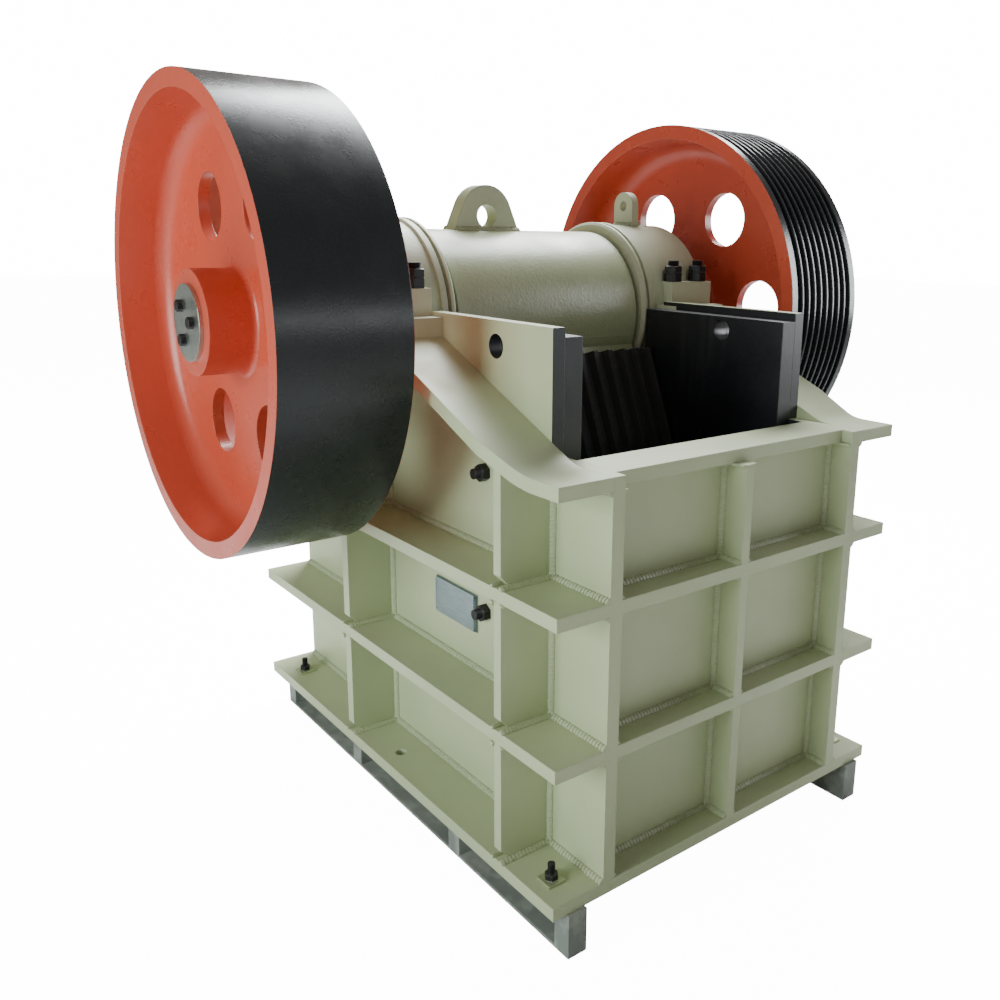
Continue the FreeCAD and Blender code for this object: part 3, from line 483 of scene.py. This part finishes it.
def bolt_finish(name, axis, thread_from, pitch=0.003):
    """Blackened steel with a thread along axis beyond the plane thread_from."""
    material, tree, shader = enamel(
        name, BOLT_BLACK, BOLT_WORN, BOLT_DUST, 0.42, dust=0.3, edge=0.9)
    at = put(tree, "ShaderNodeSeparateXYZ", {},
             {"Vector": tree.nodes.new("ShaderNodeTexCoord").outputs["Object"]})
    along = work_out(tree, "ABSOLUTE", at.outputs[axis], 0.0)
    turn = work_out(tree, "SINE", work_out(tree, "MULTIPLY", along, math.tau / pitch), 0.0)
    ridge = work_out(tree, "MULTIPLY", turn, work_out(tree, "GREATER_THAN", along, thread_from))
    finished = shader.inputs["Normal"].links[0].from_socket
    thread = put(tree, "ShaderNodeBump", {}, {"Strength": 0.9, "Distance": 0.0009,
                                              "Height": ridge, "Normal": finished})
    tree.links.new(thread.outputs["Normal"], shader.inputs["Normal"])
    shader.inputs["Metallic"].default_value = 0.6
    return material, tree, shader, at.outputs["Z"]


cap_steel = bolt_finish("cap_bolt_steel", "Z", CAP_NUT_Z)[0]
finish(cap_steel, *both("cap_bolts"))
cheek_steel = bolt_finish("cheek_bolt_steel", "X", CHEEK_NUT_X)[0]
finish(cheek_steel, *both("cheek_bolts"))
end_steel = bolt_finish("end_bolt_steel", "X", NO_THREAD)[0]
finish(end_steel, *both("end_bolts"))
base_steel, base_tree, base_shader, base_height = bolt_finish("base_bolt_steel", "Z", BASE_NUT_Z)
base_washer = work_out(base_tree, "MULTIPLY",
                       work_out(base_tree, "GREATER_THAN", base_height, WASHER_BOTTOM_Z),
                       work_out(base_tree, "LESS_THAN", base_height, WASHER_TOP_Z))
repaint(base_tree, base_shader, base_washer, BODY_GREEN, 0.42)
finish(base_steel, *both("base_bolts"))

# ---- Flywheel and sheave ----
# Two iron wheels with a thin holed web, sprayed orange-red over the casting. Their running faces
# are turned and brushed with thick glossy black, down into the belt grooves of the right one.
WHEEL_ORANGE = (0.550, 0.072, 0.036, 1.0)
WHEEL_EDGE = (0.80, 0.22, 0.11, 1.0)
WHEEL_DUST = (0.62, 0.20, 0.12, 1.0)
RIM_BLACK = (0.010, 0.012, 0.016, 1.0)
SHAFT_Z = 1.233
RIM_R = 0.5133
RIM_MID_X = 0.730
RIM_HALF = 0.1420

# Distance from the shaft's axis, for what is turned on a lathe.
lathe_group, _, lathe_out = shared_group("from_shaft_axis", {}, {"Radius": "NodeSocketFloat"})
lathe_place = put(lathe_group, "ShaderNodeVectorMath", {"operation": "SUBTRACT"},
                  {0: lathe_group.nodes.new("ShaderNodeTexCoord").outputs["Object"],
                   1: (0.0, SHAFT_Y, SHAFT_Z)})
lathe_across = put(lathe_group, "ShaderNodeVectorMath", {"operation": "MULTIPLY"},
                   {0: lathe_place.outputs["Vector"], 1: (0.0, 1.0, 1.0)})
lathe_length = put(lathe_group, "ShaderNodeVectorMath", {"operation": "LENGTH"},
                   {0: lathe_across.outputs["Vector"]})
lathe_group.links.new(lathe_length.outputs["Value"], lathe_out.inputs["Radius"])

wheel_paint, wheel_tree, wheel_shader = enamel(
    "wheel_enamel", WHEEL_ORANGE, WHEEL_EDGE, WHEEL_DUST, 0.30, sand=0.35, dust=0.08, edge=0.6)
wheel_radius = put(wheel_tree, "ShaderNodeGroup", {"node_tree": lathe_group}, {}).outputs["Radius"]
wheel_at = put(wheel_tree, "ShaderNodeSeparateXYZ", {},
               {"Vector": wheel_tree.nodes.new("ShaderNodeTexCoord").outputs["Object"]})
wheel_out = work_out(wheel_tree, "ABSOLUTE", wheel_at.outputs["X"], 0.0)
wheel_off = work_out(wheel_tree, "ABSOLUTE", work_out(wheel_tree, "SUBTRACT", wheel_out, RIM_MID_X), 0.0)
wheel_black = work_out(wheel_tree, "MULTIPLY",
                       work_out(wheel_tree, "LESS_THAN", wheel_off, RIM_HALF),
                       work_out(wheel_tree, "GREATER_THAN", wheel_radius, RIM_R))
repaint(wheel_tree, wheel_shader, wheel_black, RIM_BLACK,
        spread(wheel_tree, clouds(wheel_tree, 16.0, 5.0), 0.3, 0.7, 0.24, 0.30))
wheel_skin = wheel_shader.inputs["Normal"].links[0].from_node.inputs["Height"].links[0].from_node
wheel_tree.links.new(spread(wheel_tree, wheel_black, 0.0, 1.0, 0.30, 0.04), wheel_skin.inputs["Sand"])
finish(wheel_paint, "flywheel", "sheave")

# ---- Shaft ends ----
# The eccentric shaft and the discs that hold the wheels on it are turned steel, with the fine
# rings that the lathe tool leaves.
LATHE_STEP = 0.0016
TURNED_BRIGHT = (0.56, 0.60, 0.58, 1.0)
TURNED_STAINED = (0.34, 0.36, 0.33, 1.0)

turned_steel = bpy.data.materials.new("turned_steel")
turned_steel.use_nodes = True
turned_tree = turned_steel.node_tree
turned_shader = turned_tree.nodes["Principled BSDF"]
turned_shader.inputs["Metallic"].default_value = 1.0
turned_radius = put(turned_tree, "ShaderNodeGroup", {"node_tree": lathe_group}, {}).outputs["Radius"]
turned_rings = work_out(turned_tree, "SINE",
                        work_out(turned_tree, "MULTIPLY", turned_radius, math.tau / LATHE_STEP), 0.0)
turned_stain = spread(turned_tree, clouds(turned_tree, 26.0, 5.0), 0.35, 0.75, 0.0, 1.0)
turned_tree.links.new(
    tinted(turned_tree, turned_stain, TURNED_BRIGHT, TURNED_STAINED),
    turned_shader.inputs["Base Color"])
turned_tree.links.new(spread(turned_tree, turned_stain, 0.0, 1.0, 0.26, 0.46),
                      turned_shader.inputs["Roughness"])
turned_edges = put(turned_tree, "ShaderNodeGroup", {"node_tree": edge_group}, {"Radius": 0.002})
turned_bump = put(turned_tree, "ShaderNodeBump", {},
                  {"Strength": 0.25, "Distance": 0.0002, "Height": turned_rings,
                   "Normal": turned_edges.outputs["Normal"]})
turned_tree.links.new(turned_bump.outputs["Normal"], turned_shader.inputs["Normal"])
finish(turned_steel, "eccentric_shaft", *both("end_disc"))

# ---- Jaw plates and toggle ----
# Manganese-steel castings with upright teeth, and the cast toggle plate behind them. They are
# left black from the foundry, with the crests of the teeth rubbed brighter.
JAW_BLACK = (0.013, 0.014, 0.015, 1.0)
JAW_CREST = (0.07, 0.068, 0.064, 1.0)
JAW_DUST = (0.06, 0.056, 0.05, 1.0)
jaw_steel, _, jaw_steel_shader = enamel(
    "manganese_steel", JAW_BLACK, JAW_CREST, JAW_DUST, 0.60, sand=0.9, dust=0.35, edge=0.9)
jaw_steel_shader.inputs["Metallic"].default_value = 0.2
finish(jaw_steel, "fixed_jaw_plate", "swing_jaw_plate", "toggle_plate")

# ---- Nameplate ----
# A blank sheet-metal plate on the left side, with a raised border and a rivet in each corner.
PLATE_X0 = -0.392
NAME_Y0, NAME_Y1 = -0.256, -0.075
NAME_Z0, NAME_Z1 = 0.525, 0.618
BORDER_W = 0.006
NAME_DULL = (0.20, 0.255, 0.27, 1.0)
NAME_BRIGHT = (0.30, 0.355, 0.37, 1.0)

name_metal = bpy.data.materials.new("blank_nameplate")
name_metal.use_nodes = True
name_tree = name_metal.node_tree
name_shader = name_tree.nodes["Principled BSDF"]
name_shader.inputs["Metallic"].default_value = 0.7
name_place = put(name_tree, "ShaderNodeMapping", {},
                 {"Vector": name_tree.nodes.new("ShaderNodeTexCoord").outputs["Object"],
                  "Scale": (1.0, 6.0, 400.0)})
name_brush = put(name_tree, "ShaderNodeTexNoise", {},
                 {"Vector": name_place.outputs["Vector"], "Scale": 3.0, "Detail": 3.0})
name_tree.links.new(
    tinted(name_tree, spread(name_tree, name_brush.outputs["Fac"], 0.3, 0.7, 0.0, 1.0),
           NAME_DULL, NAME_BRIGHT),
    name_shader.inputs["Base Color"])
name_tree.links.new(spread(name_tree, clouds(name_tree, 30.0, 4.0), 0.3, 0.7, 0.32, 0.48),
                    name_shader.inputs["Roughness"])
name_bump = put(name_tree, "ShaderNodeBump", {},
                {"Strength": 0.2, "Distance": 0.0002, "Height": name_brush.outputs["Fac"]})
name_tree.links.new(name_bump.outputs["Normal"], name_shader.inputs["Normal"])
finish(name_metal, "nameplate")

bpy.ops.mesh.primitive_cube_add(size=1.0, location=(
    PLATE_X0, (NAME_Y0 + NAME_Y1) / 2, (NAME_Z0 + NAME_Z1) / 2))
border = bpy.context.object
border.name = "nameplate_border"
border.scale = (0.002, NAME_Y1 - NAME_Y0 - 0.004, NAME_Z1 - NAME_Z0 - 0.004)
bpy.ops.object.transform_apply(location=True, rotation=False, scale=True)
bpy.ops.object.mode_set(mode="EDIT")
bpy.ops.mesh.select_all(action="DESELECT")
bpy.ops.object.mode_set(mode="OBJECT")
for face in border.data.polygons:
    face.select = abs(face.normal.x) > 0.9
bpy.ops.object.mode_set(mode="EDIT")
bpy.ops.mesh.inset(thickness=BORDER_W, use_individual=True)
bpy.ops.mesh.bridge_edge_loops()
bpy.ops.mesh.select_all(action="SELECT")
bpy.ops.mesh.normals_make_consistent(inside=False)
bpy.ops.object.mode_set(mode="OBJECT")
border.modifiers.new("rolled", "BEVEL").width = 0.0004
bpy.ops.object.modifier_apply(modifier="rolled")
border.data.materials.append(name_metal)
border.select_set(False)
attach(border, "frame")

RIVET_R = 0.0045
RIVET_INSET = 0.014        # from the edges of the plate
bpy.ops.mesh.primitive_uv_sphere_add(segments=16, ring_count=8, radius=RIVET_R, location=(0.0, 0.0, 0.0))
rivet = bpy.context.object
bpy.ops.object.mode_set(mode="EDIT")
bpy.ops.mesh.select_all(action="SELECT")
bpy.ops.mesh.bisect(plane_co=(0.0, 0.0, 0.0), plane_no=(1.0, 0.0, 0.0), use_fill=True, clear_outer=True)
bpy.ops.mesh.select_all(action="SELECT")
bpy.ops.transform.resize(value=(0.6, 1.0, 1.0), center_override=(0.0, 0.0, 0.0))
bpy.ops.object.mode_set(mode="OBJECT")
bpy.ops.object.shade_smooth_by_angle(angle=math.radians(40.0))
rivet.data.materials.append(nipple_steel)
rivet.select_set(False)
corners = ((NAME_Y0, NAME_Z0), (NAME_Y1, NAME_Z0), (NAME_Y0, NAME_Z1), (NAME_Y1, NAME_Z1))
for corner, (y, z) in enumerate(corners, 1):
    head = rivet.copy()
    head.data = rivet.data.copy()
    head.name = "nameplate_rivet_%d" % corner
    inward_y = RIVET_INSET if y == NAME_Y0 else -RIVET_INSET
    inward_z = RIVET_INSET if z == NAME_Z0 else -RIVET_INSET
    head.data.transform(Matrix.Translation((PLATE_X0, y + inward_y, z + inward_z)))
    bpy.context.scene.collection.objects.link(head)
    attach(head, "frame")
bpy.data.objects.remove(rivet)
bpy.data.objects.remove(ripple)

# ---- Skid ----
# Two rolled channels and three cross channels under the base plate, in grey primer that is
# scuffed pale on the flanges from forklift and floor.
SKID_GREY = (0.19, 0.205, 0.190, 1.0)
SKID_EDGE = (0.50, 0.52, 0.49, 1.0)
SKID_DUST = (0.38, 0.37, 0.32, 1.0)
SKID_SCUFFED = (0.32, 0.34, 0.31, 1.0)
skid_paint, skid_tree, skid_shader = enamel(
    "skid_primer", SKID_GREY, SKID_EDGE, SKID_DUST, 0.52, sand=0.15, dust=0.6, edge=1.0)
skid_scuff = spread(skid_tree, clouds(skid_tree, 18.0, 6.0), 0.50, 0.66, 0.0, 0.8)
repaint(skid_tree, skid_shader, skid_scuff, SKID_SCUFFED, 0.6)
finish(skid_paint, *both("skid_rail"), "skid_cross_1", "skid_cross_2", "skid_cross_3")

# ---- Showroom floor, lamps and camera ----
# A white seamless floor and backdrop, a large soft box over the rear right corner, and a fill
# beside the flywheel. Both whites are lifted for the camera only, so they don't light the machine.
FLOOR_GLOW = 14.0
BACKDROP_GLOW = 16.0
SKY_LIGHT = 0.28
SKY_TINT = (1.0, 0.98, 0.88, 1.0)
WHITE = (1.0, 1.0, 1.0, 1.0)
COOL_WHITE = (0.94, 0.98, 1.0)
HALL_GREEN = (0.88, 1.0, 0.98)

bpy.ops.mesh.primitive_plane_add(size=60.0, location=(0.0, 0.0, -0.0005))
floor = bpy.context.object
floor.name = "showroom_floor"
floor_paint = bpy.data.materials.new("showroom_floor")
floor_paint.use_nodes = True
floor_tree = floor_paint.node_tree
floor_shader = floor_tree.nodes["Principled BSDF"]
floor_shader.inputs["Base Color"].default_value = (0.90, 0.90, 0.89, 1.0)
floor_shader.inputs["Roughness"].default_value = 0.75
floor_shader.inputs["Emission Color"].default_value = WHITE
floor_seen = floor_tree.nodes.new("ShaderNodeLightPath").outputs["Is Camera Ray"]
floor_tree.links.new(work_out(floor_tree, "MULTIPLY", floor_seen, FLOOR_GLOW),
                     floor_shader.inputs["Emission Strength"])
floor.data.materials.append(floor_paint)

studio = bpy.data.worlds.new("studio")
studio.use_nodes = True
studio_tree = studio.node_tree
backdrop = studio_tree.nodes["Background"]
studio_seen = studio_tree.nodes.new("ShaderNodeLightPath").outputs["Is Camera Ray"]
studio_tree.links.new(tinted(studio_tree, studio_seen, SKY_TINT, WHITE), backdrop.inputs["Color"])
studio_tree.links.new(spread(studio_tree, studio_seen, 0.0, 1.0, SKY_LIGHT, BACKDROP_GLOW),
                      backdrop.inputs["Strength"])
bpy.context.scene.world = studio


def soft_box(name, place, target, width, height, power, tint=COOL_WHITE):
    """A rectangular area lamp at place, turned towards target."""
    lamp = bpy.data.lights.new(name, "AREA")
    lamp.shape = "RECTANGLE"
    lamp.size = width
    lamp.size_y = height
    lamp.energy = power
    lamp.color = tint
    holder = bpy.data.objects.new(name, lamp)
    bpy.context.scene.collection.objects.link(holder)
    holder.location = place
    aim = Vector(target) - Vector(place)
    holder.rotation_euler = aim.to_track_quat("-Z", "Y").to_euler()
    holder.visible_camera = False
    return holder


soft_box("overhead_soft_box", (2.2, 2.0, 4.6), (0.0, 0.2, 1.0), 3.0, 2.6, 630.0)
soft_box("side_fill", (-4.8, -0.5, 1.7), (-0.4, 0.0, 0.6), 2.4, 2.4, 205.0, HALL_GREEN)

# Two panels that only the gloss of the paint picks up: a strip along the flywheel's rim and a
# taller one down the grooves of the sheave.
rim_strip = soft_box("rim_strip", (0.35, -2.60, 1.43), (-0.7, -0.3, 1.28), 1.3, 0.08, 4.5)
rim_strip.visible_diffuse = False
groove_panel = soft_box("groove_panel", (2.7, -1.75, 1.85), (0.7, -0.2, 1.3), 0.8, 1.7, 90.0)
groove_panel.visible_diffuse = False

camera_place = Vector((-1.540, -2.015, 1.439))
camera_heading = math.radians(39.2)      # from +Y towards +X
camera_pitch = math.radians(-13.13)
camera_roll = math.radians(0.96)
forward = Vector((math.sin(camera_heading) * math.cos(camera_pitch),
                  math.cos(camera_heading) * math.cos(camera_pitch),
                  math.sin(camera_pitch)))
level_right = Vector((math.cos(camera_heading), -math.sin(camera_heading), 0.0))
level_up = level_right.cross(forward)
right = level_right * math.cos(camera_roll) + level_up * math.sin(camera_roll)
up = level_up * math.cos(camera_roll) - level_right * math.sin(camera_roll)
turn = Matrix((right, up, -forward)).transposed()

lens = bpy.data.cameras.new("camera")
lens.sensor_width = 36.0
lens.lens = 34.42
lens.shift_x = -0.0749
lens.shift_y = -0.0425
camera = bpy.data.objects.new("camera", lens)
bpy.context.scene.collection.objects.link(camera)
camera.matrix_world = Matrix.Translation(camera_place) @ turn.to_4x4()
bpy.context.scene.camera = camera
